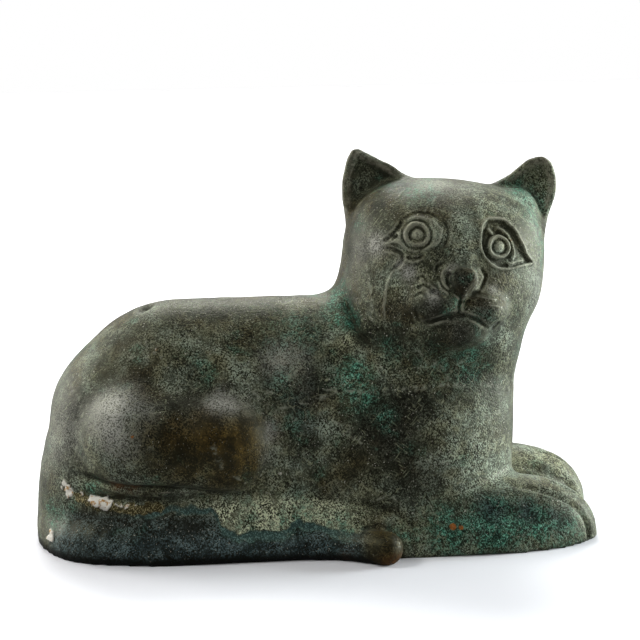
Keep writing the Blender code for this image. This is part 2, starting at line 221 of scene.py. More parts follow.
class Plate:
    """A plate on the head: an outline seen from the front, bowed forward at its edges.

    Its back swells away from its edges, and its front is dished inside a rim.
    """

    def __init__(self, outline, middle, thickness, soft, rounding, bow=0.0, swell=0.0, dish=0.0):
        self.outline = smooth_path([*outline, outline[0]])
        self.middle = np.array(middle, float)
        self.thickness = thickness
        self.soft = soft
        self.rounding = rounding
        self.bow, self.swell, self.dish = bow, swell, dish
        bowed = bow * ((self.outline - self.middle[1:]) ** 2).sum(axis=1).max()
        ends = middle[0] - thickness * (0.5 + 2 * swell), middle[0] + thickness * 0.5 + bowed
        spots = np.array([on_head(forward, *spot) for spot in self.outline for forward in ends])
        self.low, self.high = spots.min(axis=0) - soft - REACH, spots.max(axis=0) + soft + REACH

    def distance(self, points):
        local = in_head(points)
        across = ((local[:, 1:] - self.middle[1:]) ** 2).sum(axis=1)
        edge = outline_distance(local[:, 1:], self.outline)
        ahead = local[:, 0] - self.middle[0] - self.bow * across
        ahead += self.dish * (1 - np.exp(-((np.minimum(edge + EAR_RIM, 0) / DISH_SLOPE) ** 2)))
        behind = -ahead - self.swell * np.clip(-edge, 0, self.thickness * 2)
        depth = np.maximum(ahead, behind) - self.thickness / 2
        face = depth / np.sqrt(1 + (2 * self.bow) ** 2 * across)
        return -union(-face, -edge, self.rounding)


class Mark:
    """Something cut in, or raised where its depth is negative, at a place drawn in a view.

    Only points past the limit, towards the viewer, are marked.
    """

    def __init__(self, view, limit, path, depth, reach):
        self.view, self.limit, self.path, self.depth = view, limit, path, depth
        self.low, self.high = path.min(axis=0) - reach, path.max(axis=0) + reach

    def offset(self, points):
        local = seen_in(self.view, points)
        within = ((local[:, 1:] > self.low) & (local[:, 1:] < self.high)).all(axis=1)
        near = within & (local[:, 0] > self.limit)
        found = np.zeros(len(points))
        found[near] = self.depth * self.share(local[near, 1:])
        return found


class Line(Mark):
    """A groove or a ridge along a path. It fades out over a share of the path at each end."""

    def __init__(self, view, limit, path, width, depth, fade=0.0, closed=False):
        path = smooth_path([*path, path[0]] if closed else path)
        super().__init__(view, limit, path, depth, 3 * width)
        self.width, self.fade = width, fade

    def share(self, spots):
        gap, along = path_distance(spots, self.path)
        found = np.exp(-((gap / self.width) ** 2))
        if self.fade:
            found *= np.clip(np.minimum(along, 1 - along) / self.fade, 0, 1)
        return found


class Sunk(Mark):
    """The inside of an outline, let in over the width of its edge, but for a disc kept in it."""

    def __init__(self, view, limit, outline, depth, edge, disc=None):
        super().__init__(view, limit, smooth_path([*outline, outline[0]]), depth, 0)
        self.edge, self.disc = edge, disc

    def share(self, spots):
        found = step(-outline_distance(spots, self.path), 0, self.edge)
        if self.disc:
            middle, radius = self.disc
            found *= step(np.hypot(*(spots - middle).T), radius, radius + self.edge)
        return found


def body_masses():
    barrel_x = RUMP_X + BARREL_LENGTH / 2
    barrel_stretch = BARREL_LENGTH / 2 - BARREL_END
    barrel_radii = (BARREL_END, HALF_WIDTH, BACK_HEIGHT)
    masses = [
        Ellipsoid((barrel_x, 0.5, 0), barrel_radii, 1, stretch=(barrel_stretch, 0, 0), power=2.2),
        Ellipsoid((-45.5, 0.5, 33), (17.6, 17, 14), 4),
        Ellipsoid((25.8, 0, 18), (21.7, 21, 25), 7, stretch=(0, 0, 30), power=2.2),
        Ellipsoid((33, 0, 47), (15.5, 18, 10), 5),
    ]
    for side in (RIGHT, LEFT):
        masses += [
            Ellipsoid((-37.5, side * 11.5, 27), (20, 14.5, 14.5), 2.5, power=2.2),
            Ellipsoid((-47, side * 12.8, 28.5), (10.2, 12, 13.5), 2.5),
            Ellipsoid((-27, side * 15.3, 26.5), (14, 11.2, 12.8), 1.2, power=2.3),
            Ellipsoid((21, side * 9, 24), (21, 14, 26), 6),
            Ellipsoid((-17, side * 15.7, 0), (12, 8.2, 13.4), 1, stretch=(22, 0, 0), power=2.8),
        ]
    return masses + [
        Ellipsoid((41, -13.8, 0), (25.3, 12.4, 15.2), 3, power=2.3),
        Ellipsoid((26, -14.5, 2), (22, 12.2, 13), 4, stretch=(8, 0, 0)),
        Ellipsoid((43, 12.5, 0), (26.5, 12.2, 15.4), 3, power=2.3),
        Ellipsoid((26, 13, 2), (22, 12.2, 13), 4, stretch=(8, 0, 0)),
    ]


def tail():
    """The tail, from inside the rump along the right side to its knob."""
    rows = [
        (-58, 6, 3, 8.5), (-60, -5, 3, 7.9), (-56, -13, 3, 7.6), (-46, -17.8, 2.8, 5.9),
        (-32, -20.6, 2.6, 4.6), (-18, -21, 2.6, 4.3), (-6, -21.3, 2.6, 4.2), (3, -23.5, 3, 4),
        (9, -27, 3.4, 4), (12, -29.2, 3.6, 4),
    ]
    return Tube(rows, 1.0)


EAR_OUTLINES = {
    RIGHT: [
        (-9, 14), (-9.5, 21), (-13, 24.6), (-17, 26.4), (-20.5, 27.8), (-22.6, 28.4), (-24, 27.6),
        (-24.9, 24.6), (-25.3, 20), (-25, 15), (-23.4, 10), (-19, 6), (-13, 8),
    ],
    LEFT: [
        (10, 14), (10.5, 21), (15, 24.9), (17.3, 27), (19.4, 28.9), (22.4, 29.6), (24.6, 28.3),
        (26, 25.6), (26.6, 21.9), (26, 18), (24.4, 13), (22, 9), (18.5, 6), (13, 8),
    ],
}
NOSE_OUTLINE = [(-1.6, -0.6), (1, 0.7), (3.9, -0.1), (4.7, -2.3), (2.9, -5), (1.4, -6.3), (-0.8, -3.9)]


def head_masses():
    def mass(forward, left, up, radii, soft, power=2.0, profile=None):
        at = on_head(forward, left, up)
        return Ellipsoid(at, radii, soft, HEAD_AXES, power=power, profile=profile)

    bridge = [(*on_head(14.5, 0.4, 8), 3.4), (*on_head(16.6, 0.8, 2), 3.2), (*on_head(18.4, 1.3, -2.4), 3)]
    masses = [
        mass(-2, 0, 2.6, (21.5, 24.4, 20.1), 1, 2.65, 2.1),
        mass(2, 0, -9, (16.5, 17, 12), 6),
        mass(-3.5, 17.2, 14.2, (7, 5.6, 7.8), 4),
        mass(16, 1.8, -14.2, (5, 6.5, 4), 3),
        mass(16.5, -3.4, -8.3, (5.5, 6.8, 4.8), 2),
        mass(16.2, 6.6, -9, (5.3, 6.2, 4.6), 2.5),
        Tube(bridge, 3),
        Plate(NOSE_OUTLINE, (19.2, 1.4, -2.4), NOSE_LENGTH, 0.8, 1.6),
    ]
    shape = {"bow": EAR_BOW, "swell": EAR_SWELL, "dish": EAR_DISH}
    for side, outline in EAR_OUTLINES.items():
        middle = (-4.5, side * 19, 19)
        masses.append(Plate(outline, middle, EAR_THICKNESS, 2.5, EAR_THICKNESS * 0.6, **shape))
    return masses


def ring(middle, radius):
    across, up = middle
    turns = np.linspace(0, 2 * math.pi, 17)[:-1]
    return [(across + radius * math.cos(turn), up + radius * math.sin(turn)) for turn in turns]


RIGHT_EYE, LEFT_EYE = (-9.3, 7.5), (10.2, 6.0)
RIGHT_LID = [
    (-17.3, 5.2), (-15.2, 5.8), (-13.6, 7.8), (-12.2, 10.4), (-10.9, 11.7), (-8.7, 12.1), (-6.5, 11.7),
    (-4.6, 10.7), (-3.2, 9), (-3.4, 7), (-4.5, 5.1), (-6.3, 4), (-8.5, 3.4), (-10, 2.8), (-11.6, 3.4),
    (-13.9, 4.8),
]
LEFT_LID = [
    (5.4, 6.6), (5.6, 9), (6.3, 11.4), (7.8, 12.4), (10.5, 12.6), (12.2, 12), (13.5, 10.9), (14.8, 9.5),
    (16.2, 7.2), (17.4, 5), (19.3, 3), (17.4, 2.6), (15.3, 1.9), (13.3, 1.3), (11.4, 1), (9.3, 1.4),
    (7.3, 2.8), (6, 4.6),
]
FACE_FRONT = 5  # how far ahead of the head's centre all the marks on the face are


def eye_marks():
    """The right eye stands a little proud, and the left eyeball lies in a deep opening.

    The open lines are rows of a path, a width, a depth and a fade. The closed ones have no fade.
    """
    rows = [
        # Round the right lid, along its drawn-out corner, and the pit in that corner.
        ([(-17.8, 5.8), (-15.6, 6.6), (-13.8, 8.8), (-12.6, 11)], 0.4, 0.6, 0.2),
        ([(-12.6, 11), (-10.6, 12.6), (-8, 12.9), (-5.4, 12.2), (-3.6, 10.9)], 0.4, 0.35, 0.2),
        ([(-3.6, 11.6), (-2.3, 9.6), (-2.3, 7), (-3.5, 4.6)], 0.4, 0.45, 0.2),
        ([(-17.6, 4.4), (-13.4, 3.4), (-12.3, 1.9), (-13.4, 0), (-14.8, -1.6)], 0.45, 0.7, 0.2),
        ([(-11.6, 2.4), (-9.8, 1.8), (-7.4, 2.8)], 0.4, 0.55, 0.2),
        ([(-14.4, 6.8), (-13.8, 6.9)], 0.5, 0.8),
        # The folds on the left eyeball's outer side and inner corner.
        ([(9, 10.6), (11, 10), (12.6, 8.6), (13.6, 6.8), (14.1, 4.9), (13.6, 2.8)], 0.5, -0.95, 0.15),
        ([(12.2, 1.9), (14.8, 2.9), (17.4, 3.5)], 0.6, -0.7, 0.15),
        ([(7.2, 10.4), (8.8, 8.6)], 0.45, -0.7, 0.2),
    ]
    closed = [(LEFT_LID, 0.4, -0.25), (ring(RIGHT_EYE, 3.35), 0.34, 0.5)]
    for eye, deep in ((RIGHT_EYE, 1.2), (LEFT_EYE, 0.8)):
        closed.append((ring(eye, 1.65), 0.34, 0.45 * deep))
        closed.append((ring(eye, 2.45), 0.34, -0.35 * deep))
        closed.append((ring(eye, 0.35), 0.6, -0.35))
    return [
        Sunk(FACE, FACE_FRONT, RIGHT_LID, -0.55, 0.7),
        Sunk(FACE, FACE_FRONT, LEFT_LID, 0.9, 0.55, (LEFT_EYE, 2.6)),
        *[Line(FACE, FACE_FRONT, *row) for row in rows],
        *[Line(FACE, FACE_FRONT, *row, closed=True) for row in closed],
    ]


def muzzle_marks():
    """The nose, mouth and whisker pads: rows of a path, a width, a depth and a fade."""
    mouth = [
        (-7.4, -13.2), (-4.5, -12.3), (-2.1, -11.4), (0.8, -10.5), (4.6, -11.1), (6.7, -12.2), (8.8, -13.6),
    ]
    rows = [
        # The mouth, and the cleft above it.
        (mouth, 0.42, 0.65, 0.15),
        ([(-3.4, -12.2), (0.8, -11.1), (4.4, -11.8)], 0.7, 0.5, 0.3),
        ([(1.3, -6.6), (1.2, -8.2), (1.0, -10)], 0.4, 0.55),
        # The wings of the nose, curled round it, with dark hollows beside and under them.
        ([(-1.6, 0.8), (-3.1, -1.2), (-2.8, -3.6), (-1.4, -5.4)], 0.36, -0.45, 0.15),
        ([(-1.6, -0.6), (-2.1, -2.4), (-1.4, -4.2)], 0.4, 0.75, 0.2),
        ([(-4.2, -2.6), (-3.4, -4.8), (-1.2, -6.4)], 0.32, -0.35, 0.2),
        ([(-2.6, 1.6), (-4.2, 0.2), (-4.4, -1.6)], 0.45, 0.4, 0.25),
        ([(-6.2, -5.2), (-4.4, -5.8), (-2.4, -7)], 0.6, 0.7, 0.25),
        ([(5.4, 1), (7.1, -0.9), (6.6, -3.2), (5.2, -4.8)], 0.42, 0.5, 0.2),
        ([(3.2, -6), (4.8, -5.2), (6.2, -4.8)], 0.5, 0.5, 0.25),
        ([(-0.8, -5.4), (1.3, -7), (3, -5.4)], 0.28, -0.3, 0.15),
        # Folds over the whisker pads, and at the corners of the mouth.
        ([(-9.4, -3.2), (-7.6, -2.2), (-6.2, -3.6)], 0.35, 0.45, 0.2),
        ([(-8.9, -5.2), (-7.2, -4.1), (-5.4, -5)], 0.35, 0.45, 0.2),
        ([(-9.6, -7), (-7.8, -6.2), (-6, -6.8)], 0.3, 0.35, 0.2),
        ([(4.8, -6), (7.4, -6.4), (10.2, -6.4)], 0.3, -0.3, 0.2),
        ([(7.6, -7.6), (9.2, -8), (10.6, -8)], 0.28, -0.25, 0.2),
        ([(-9.2, -9.4), (-8.4, -11.4), (-7.4, -13.2)], 0.4, 0.35, 0.25),
        ([(9.2, -13.6), (10.4, -12.4), (11.4, -11.4)], 0.4, 0.4, 0.25),
        # The casting seam down the right cheek.
        ([(-11.8, 2.7), (-13.8, -0.5), (-15.2, -4.5), (-15.6, -8), (-15.4, -14)], 0.3, -0.25, 0.1),
    ]
    return [Line(FACE, FACE_FRONT, *row) for row in rows]


def neck_lines():
    """The crease where the right jowl meets the neck, and the hollow of the throat under the jaw."""
    jowl = [(-24.4, -5), (-23.2, -9.5), (-21.6, -13.8), (-19.2, -17.3), (-15.4, -19.8), (-10, -22)]
    throat = [(-19, -20.5), (-10, -22.5), (0, -23.2), (10, -22.4), (17, -20.5)]
    return [Line(FACE, 0, jowl, 1.1, 1.5, 0.25), Line(FACE, 2, throat, 4.4, 1.5, 0.35)]


def body_lines():
    """The creases of both sides: rows of a limit, a path, a width, a depth and a fade."""
    under_haunch = [(-61, 20.2), (-56, 20), (-50, 19.4), (-40, 19), (-31, 18), (-20, 16.3)]
    above_foot = [(-64, 16), (-52, 15.8), (-40, 15.8), (-28, 16), (-18, 16)]
    round_toes = [(-24, 16.2), (-10, 15), (0, 13.4), (8, 12), (14.5, 10.2), (18, 7.4), (19.6, 3.6), (20, 0)]
    rows = [
        (12, under_haunch, 0.9, 1.3, 0.2),
        (10, above_foot, 1.1, 1.3, 0.25),
        (10, [(-46, 19.6), (-34, 18), (-24, 16.6)], 0.35, 0.5, 0.2),
        (10, [(-50, 17.8), (-38, 17.2), (-26, 16.4)], 0.35, 0.4, 0.2),
        (6, round_toes, 1.2, 1.1, 0.25),
        (6, [(26, 10), (34, 9.3), (43, 8.7), (52, 8.3)], 2.2, 1.2, 0.4),
    ]
    return [Line(view, *row) for view in SIDES.values() for row in rows]


def toe_lines():
    """The clefts between the toes, from where each starts on the paw to past its front."""
    lines = []
    for start, y_start, y_front in (
        (42, -19, -20.8), (52, -13.5, -15.6), (54, -8.8, -9.5), (50, 4.5, 6), (56, 10.5, 12), (56, 17, 18.5),
    ):
        path = [(start, y_start), (59, (y_start + y_front) / 2), (65, y_front), (75, y_front)]
        lines.append(Line(UNDERSIDE, -20, path, 0.7, 0.95, 0.2))
    return lines


# ---------------- where the patina changes

# Each patch is a place, a radius and a strength. Those of the body are on its right side, and the left
# side has weaker ones like them. Those of the head are forward, left and up from its centre.
# Most patches are the patina's own colour. Some dark ones paint shade and a few pale ones paint light, as
# marked below, and the spots of rubbed metal also paint highlights.
BODY_PATCHES = {"dark": [
    (12, -22, 32, 8, 1), (18, -23, 37, 6, 0.9), (8, -21, 26, 6, 0.6), (16, -23, 23, 6, 0.7),
    (18, -22, 44, 6, 0.4), (-8, -18, 38, 5, 0.7), (-3, -18, 40, 4, 0.8), (-13, -18, 39.5, 4, 0.6),
    (-38, -22, 37.5, 6, 0.9), (-43, -20, 41, 6, 0.7), (-56, -17, 36.5, 4, 0.8), (-37, -24, 33, 5, 0.7),
    (-55, -15, 42, 4, 0.5), (17, -24, 14, 6, 0.8), (39, -17, 37, 5, 0.8), (33, -19, 42, 5, 0.8),
    # The spots at 14.5 and 18 along, high under the jowl, paint the shade in its crease.
    (24, -21, 38, 5, 0.5), (40, -16, 43, 5, 0.2), (13, -21, 38, 5, 0.5), (14.5, -17.5, 52, 3, 0.8),
    (18, -19, 50, 3, 0.6), (-6, -20, 29.5, 5, 0.25), (-36, -13, 48, 5, 0.2), (-20, -10, 54, 7, 0.4),
    # The spots at 40 and 50 along, low on the paw, paint shade into the crease under the right foreleg.
    (-48, -10, 50, 5, 0.4), (40, -24, 9.5, 4, 0.8), (50, -23.8, 9, 5, 0.8), (7, -20, 41, 4, 0.5),
    (-61.5, -11, 34, 6, 0.8), (-62, -13, 26, 5, 0.7), (-61, -9, 41, 5, 0.6), (0, -21.5, 15.5, 5, 0.8),
    (28, -25, 8.5, 5, 0.7), (38, -26, 7.5, 5, 0.9), (48, -25.5, 7, 5, 0.9), (57, -22, 6, 4, 0.8),
    (-37, -25, 29.5, 6, 0.7), (-42, -23.5, 30, 4, 0.5), (12, -28, 6.5, 2.5, 0.5), (-33, -19, 42.5, 4, 0.6),
    (-32, -8, 54.5, 4.5, 0.5), (-19, -24, 25, 3.5, 0.5),
], "brown": [
    (-36, -24, 34, 4, 0.6), (-28, -25, 34, 6, 0.8), (-20, -24.6, 32, 5.5, 0.8), (-33, -26, 25, 7, 0.6),
    (-41, -24.5, 30, 5, 0.4), (-35, -25, 30, 6, 0.8), (-28, -25, 30, 8, 1), (-22, -25, 29, 7, 1),
    (-40, -24, 25, 5, 0.3), (-26, -26, 23, 7, 0.7), (-20, -24, 24, 5, 0.5), (-22, -21.5, 36, 5, 0.5),
    (5, -22, 22, 5, 0.4),
], "polish": [
    # Rubbed metal, pale where the highlights fall on the hip and the knee: partly painted highlight.
    (-49.6, -20, 36.8, 5.4, 1), (-50, -21, 32.4, 4.8, 1), (-25.2, -20, 37.4, 3.4, 0.8),
    (-21, -20.5, 37.6, 3, 0.3), (-14, -20.5, 31, 2.6, 0.6), (-14.5, -21.5, 26, 2.4, 0.2),
    (-10, -14.5, 46.5, 5, 0.5), (-62, -8, 30, 8, 0.4),
], "pale": [
    (-57, -17, 18, 5, 0.7), (-60, -14, 14, 4, 0.6), (-51, -20, 18, 5, 0.6), (-63, -14, 7, 4, 0.7),
    (-56, -20, 6, 5, 0.6), (-61, -12, 25, 6, 0.4), (24, -26, 3, 6, 0.6), (4.8, -12, 51, 3.6, 1),
    (3, -8.5, 54, 3.5, 1), (6.5, -14, 48.5, 3, 0.7), (-42, -24, 22, 7, 0.4), (-1, -21, 25, 5, 0.7),
    (27, -22.5, 22, 5, 0.5), (-34, -21, 10.5, 5, 0.4), (-22, -22, 10, 4, 0.4), (-47, -20, 15, 4, 0.5),
    # The first three spots on the next line paint the light that the floor throws up onto the paw's lower
    # edge.
    (46, -26, 2, 6, 0.7), (34, -27, 1.5, 6, 0.7), (57, -23, 1.5, 4, 0.7), (-35, -17, 44, 3, 0.6),
    (-30, -21.5, 9.5, 5, 0.5), (-14, -21, 26, 3, 0.4), (-22, -12, 50, 4, 0.3), (-12, -21, 29, 3, 0.5),
    (-7.3, -22, 20.5, 1.5, 1), (29, -23, 28, 9, 0.8), (34, -21, 20, 9, 0.8), (41, -16, 18, 7, 0.8),
    (41, -20, 14, 6, 0.6), (-27, -22, 12.5, 5, 0.6), (-17, -22, 12, 6, 0.8), (-7, -22, 12, 7, 0.9),
    (5, -22, 12, 7, 0.8), (16, -24, 10.8, 6, 0.8), (-5, -21, 23.5, 7, 0.45), (38, -21.5, 13, 5, 0.5),
    (46, -20.5, 12, 4, 0.5), (42.7, -15, 44, 4, 0.6), (5.3, -13.4, 50.8, 4, 1), (14.5, -19, 45, 4, 0.6),
    (-38, -14, 50.5, 4, 0.7), (-11, -21.8, 21.5, 3.5, 0.8), (-52, -20, 16.5, 5, 0.8),
    (-42, -23, 16.5, 5, 0.6), (-22, -15, 45, 6, 0.5), (-18, -17, 41, 5, 0.6), (50, -8, 12, 9, 0.6),
    (-11, -22, 17, 8, 0.6), (19, -18, 46, 6, 0.3), (57, -20, 8.5, 5, 0.5), (-55, -20, 25, 5, 0.4),
    # The last spot on the next line, beside the tail's knob, is dust that also lifts the shade there: partly
    # painted light.
    (2, -20, 30, 7, 0.6), (-10, -21.5, 27, 5, 0.6), (3, -20, 37, 4, 0.4), (18.5, -24.5, 6, 3.5, 0.9),
    (33, -16, 54, 8, 0.3),
], "teal": [
    (4, -9.5, 54.5, 2.6, 0.9), (6, -11, 55, 2.5, 1), (5.2, -17, 43, 3.2, 1), (7, -19, 39.5, 3.4, 1),
    (-28.6, -15.3, 44.5, 2, 0.7), (14, -18, 49, 3, 0.4), (32, -18, 46, 5, 0.6), (-10, -18, 42.6, 3, 0.6),
    (12.8, -22, 34, 2.2, 0.6), (28, -26.5, 6, 6, 0.8), (38, -27, 6, 7, 1), (48, -26, 6, 6, 0.9),
    (57, -23, 4, 5, 0.6), (-64.5, -11, 10, 3.5, 0.7), (-20, -23, 10, 4, 0.6), (-8, -23.5, 9, 5, 0.8),
    (2, -24, 8, 4, 0.6), (1, -25, 1, 4, 0.9), (-8, -12, 52, 6, 0.4), (18.5, -25, 5, 3, 0.6),
    (-56, -18, 17, 2.5, 0.8), (60, 12, 8, 6, 0.3), (34, -27, 3, 3, 0.6), (42, -26, 7, 3, 0.8),
], "blue": [
    # The spots at 38 and 47 along, and at 54 on the next line, colour the crease under the right foreleg
    # blue-black, partly as painted shade.
    (-5, -20, 32, 4, 0.4), (-5, -18, 38, 4, 0.4), (38, -24.3, 9.5, 4.5, 0.9), (47, -24.3, 8.5, 4.5, 0.9),
    (-62, -14, 9, 7, 0.25), (54, -23, 8, 4, 0.7), (-7, -21, 24, 4, 0.2),
], "bare": [
    (14, -23, 30, 7, 0.7), (20, -22, 36, 6, 0.5), (-47, -15, 44, 6, 0.4), (-34, -20, 38, 6, 0.6),
    (-57, -16, 38, 4, 0.5), (22, -23, 20, 6, 0.5), (-44, -8, 52, 6, 0.4),
], "rust": [
    (-49.5, -20, 18.6, 1.8, 0.6), (-46, -21, 18.2, 1.5, 0.5),
]}
HEAD_PATCHES = {"dark": [
    # The spots out at the head's right side, some 21 to 24 mm right of its middle, paint the shade on that
    # side and in the jowl crease.
    (4, -22.5, 9, 4.5, 0.9), (8, -21, 2, 4, 0.6), (9.8, -17.5, 14.5, 4, 0.8), (5, -13.8, 19.5, 3.5, 0.9),
    (15, -11, -17, 4, 0.4), (15.5, -4, -19.5, 4, 0.4), (6.8, -23.4, -8.3, 3.5, 1), (9, -22, -12.5, 3, 1),
    (12, -18.5, -16, 3.5, 0.8), (2, 24, 13, 3, 0.9), (4.7, -23.4, 3.7, 5, 0.9), (6.4, -12.6, 19.7, 4, 0.9),
    (22.5, 0.8, -3.4, 3.4, 1), (18, 9.5, -8.4, 2.6, 0.9), (18, -12.6, 8, 1.6, 0.6), (11, -18, -3, 4, 0.4),
    (20.5, -4.5, -5, 1.5, 0.8), (2, -24, -3, 6, 0.6), (4, -22, -11, 5, 0.6), (22, 5.4, -2.4, 2.2, 0.9),
    (17.5, 11, -11.5, 3, 0.5), (-3, -23, 12, 5, 0.4), (21.5, -6, -7.6, 2.4, 0.3),
    (21.5, -3.9, -10.3, 2.6, 0.4), (21.2, 6.3, -7.5, 2.2, 0.3), (21.3, 8.3, -9.5, 2.6, 0.3),
    (21, 1.1, -14.1, 3, 0.3), (17.8, -9.4, -11.9, 3, 0.4), (14, -5, 17, 6, 0.35), (9.4, -21.1, 3.6, 4, 1),
    (14.1, -15.8, 9.3, 2.5, 0.6), (6.9, -22.2, -12.5, 3.5, 0.8), (7.6, -20.6, 12, 3.5, 0.5),
    (7, -16, 17.6, 3.5, 0.8), (17, 1, 14, 2.5, 0.5), (22, -4, -5.5, 2, 0.7), (21.8, 5, -4.5, 2, 0.8),
], "polish": [
    # Rubbed metal on the face, pale where its highlights fall: partly painted highlight.
    (12.5, -17.7, 4.8, 2.6, 0.9), (9, -20.5, 4, 3.5, 0.35), (17.7, -10.8, -1.5, 1.8, 0.9),
    (16.5, -12.8, 0.3, 1.6, 0.5), (20, -1, 0, 1.2, 0.8), (10, -3.8, 19, 5, 0.4),
    (17.6, 8.6, -4.6, 1.4, 0.6), (5, 23, -3, 6, 0.25), (20.6, -5, -7, 1.5, 0.7),
], "pale": [
    (17.5, -9.3, 7.5, 4.5, 1), (-3.8, -20.6, 21.2, 5, 0.9), (-2, 22.5, 24, 5, 0.9),
    (9.6, -23.2, -17.3, 4, 1), (20, 0.5, 5, 4, 0.9), (19, 4.9, 6, 4, 0.8), (18.9, 2.4, 8.9, 3.5, 0.6),
    (18.5, 8, 2.2, 3, 0.5), (17, 9.5, 3, 3, 0.6), (16, -13, -1, 4, 0.5), (18.6, -3, 8.5, 4, 0.6),
    (18.7, -6, 5, 4, 0.5), (17.5, 8, 8, 5, 0.8), (18.8, -7.6, -3, 2.2, 1), (18, 3, 11, 4, 0.6),
    (17, -1, 12, 4, 0.4), (21, 0.3, -9.5, 1.6, 0.8), (20, 0, -14, 3, 0.5), (18, -8, -13.5, 2, 0.6),
    (17, 9.5, -12.5, 2.5, 0.8), (6, 22, 4, 8, 0.35), (5, 22, -6, 8, 0.3), (12, 12, -13, 5, 0.5),
    (14, 11, 14, 5, 0.4), (13, 5, 16, 5, 0.3), (11, -9, 17, 5, 0.4), (4, -21, 8, 5, 0.4),
    (17, 10.4, 6.4, 4, 1), (2, 16, 17, 6, 0.6), (12, -14, -6, 6, 0.2),
], "teal": [
    (11, -8.5, 18.3, 4, 0.8), (4, -13, 18, 4, 0.4), (-1, 17.5, 20, 4, 0.9), (2, 17, 17, 4.5, 0.9),
    (6, 18, 13, 4, 0.7), (6, 21, 8, 4, 0.5), (21, 0.6, -8, 1.3, 1), (20.5, -1.6, -10.3, 1.2, 0.9),
    (-3, 22, 18, 3, 0.5), (2, -22, -12, 5, 0.7), (12, -4, -20, 6, 0.2), (14, 5.3, -19.6, 4, 0.7),
    (4, -25, -8, 3, 0.8),
], "bare": [
    (22, 1.6, -2.6, 2.6, 1), (21, -4, -9.6, 3.3, 1), (21.5, 6.8, -9.4, 3, 1), (20.5, 2, -14.5, 4.2, 1),
    (18, -1, 3, 3.2, 0.6), (14, -12, -11, 4, 0.5), (-3, -18, 24, 5, 0.2), (-3, 22, 25, 5, 0.3),
], "rust": [
    (10, 1.6, -22.4, 1.8, 0.6),
]}
# Each rust spot is a place and a radius.
RUST_SPOTS = [
    (-46.5, -24.4, 32, 0.9), (-45, -24, 29.5, 0.6), (28.5, -26, 7.2, 1.3), (30.4, -26.3, 7, 1),
    (-57.4, -15.9, 14.8, 1.3), (-52, -19.5, 14.6, 1.2), (-58, -17, 7, 0.8),
]
RUST_SPOTS += [(*on_head(*spot), radius) for *spot, radius in (
    (20, -2.6, -10, 0.6), (16, 12, 10.1, 0.8), (16, 13.4, 7.9, 0.7), (16.4, 9.6, 11.4, 0.6),
    (13.6, -14, 6.6, 0.6),
)]
CRUST = [
    (-61.5, -12.8, 16.8, 1.2, 1), (-60.8, -13.5, 15.6, 1.3, 1), (-56, -16.9, 15.2, 1.2, 1),
    (-54.6, -17.7, 14.8, 1.7, 1), (-52.9, -18.5, 14.4, 1.6, 1), (-51.8, -19, 14.2, 1.1, 1),
    (-58.2, -15.4, 15.8, 0.7, 0.8), (-49.6, -20.2, 14.3, 0.6, 0.9), (-48.2, -20.6, 14, 0.5, 0.9),
    (-46, -21, 14.6, 0.4, 0.8), (-65.5, -12.9, 4.9, 1.5, 0.9), (-11.3, -21.7, 21.8, 0.8, 0.9),
    (-10.3, -21.8, 21.9, 0.6, 0.9), (-40, -12.2, 49.2, 0.7, 0.6), (-9, -24.2, 1.8, 0.5, 0.6),
]
# The crumbly gold-brown streak that the white crust runs into.
CRUMBS = [(-61, 15.4), (-58, 15), (-54, 14), (-50, 13.4), (-46, 13.2), (-42, 13.2), (-38, 13.6)]
# Where the dusty layer on the hind foot ends above the bare tail: along, and up.
LAYER_EDGE = [
    (-44, 13.2), (-36, 14.2), (-28.4, 13.4), (-27, 11.6), (-26, 8.4), (-22.5, 7.2), (-17, 7.9), (-12.6, 7.3),
    (-10.4, 8), (-7.8, 9.4), (-4, 9), (0, 7.3), (4, 6.7), (10, 8.2), (15, 8.4), (18, 6), (19.5, 1),
]
PIT = (-41.7, -0.5, 56.8, 1.5, 1)
TAIL_TIP = (12, -29.5, 3.8, 6, 1)
TIP_RUST = [(13, -31, 1.2, 2.4, 0.55), (4, -26, 1, 2, 0.5)]
LEFT_PAW = (57, 7, 11, 8, 1)

WAVE_HEIGHT, DENT_HEIGHT = 0.22, 0.09
CRUST_HEIGHT = 0.35
CRUMB_HEIGHT = 0.2
LAYER_HEIGHT = 0.38
SCAR_HEIGHT = 0.07
PIT_DEPTH = 1.6
OUT, IN = 1.2, 1.6  # how far off the surface it is tested for hollows, and for what stands proud


def scratches():
    """Thin pale scars on the body's right side and on the face."""
    body = [
        [(-1, 39.5), (7, 39.2), (16.5, 39.9), (26, 40.6), (36, 39.6), (41.5, 38)],
        [(9, 23.2), (16, 23.3), (25.7, 22.6), (31, 19.5)], [(-28.4, 29.4), (-27, 26.4), (-25.6, 24)],
        [(-23.5, 22), (-20.5, 19.6)], [(-51.5, 29.5), (-47, 27.8)], [(-47, 30.5), (-42.5, 29)],
        [(-44, 51), (-40.5, 49), (-39, 47.6)], [(-46, 47.3), (-43, 47.6), (-41, 47.2)],
        [(-12.5, 35.6), (-5, 37), (2, 39)], [(-20, 42), (-14, 36.5), (-8, 33)],
        [(0, 33), (4, 30.5), (8, 26.5)], [(20, 49), (25, 45.5), (29, 42.2)], [(33, 47), (28, 42.5)],
        [(31, 26), (37, 29.5), (42, 33)], [(10, 13.5), (14, 14.8), (16, 12.5)],
        [(-62, 42), (-58, 38), (-57, 33)], [(-60.5, 36), (-58.5, 31), (-59, 26)],
        [(-7, 44), (-12, 40), (-17, 39)],
    ]
    face = [
        [(-20, 0), (-18.5, -7), (-18, -13)], [(-5, 16.4), (-7.5, 13.3)], [(-12, 18.5), (-14.5, 15.5)],
        [(21, 6), (20, 0), (20.8, -6)],
    ]
    places = [(SIDES[RIGHT], 4, path) for path in body] + [(FACE, 0, path) for path in face]
    return [Line(*place, 0.24, 1.0) for place in places]


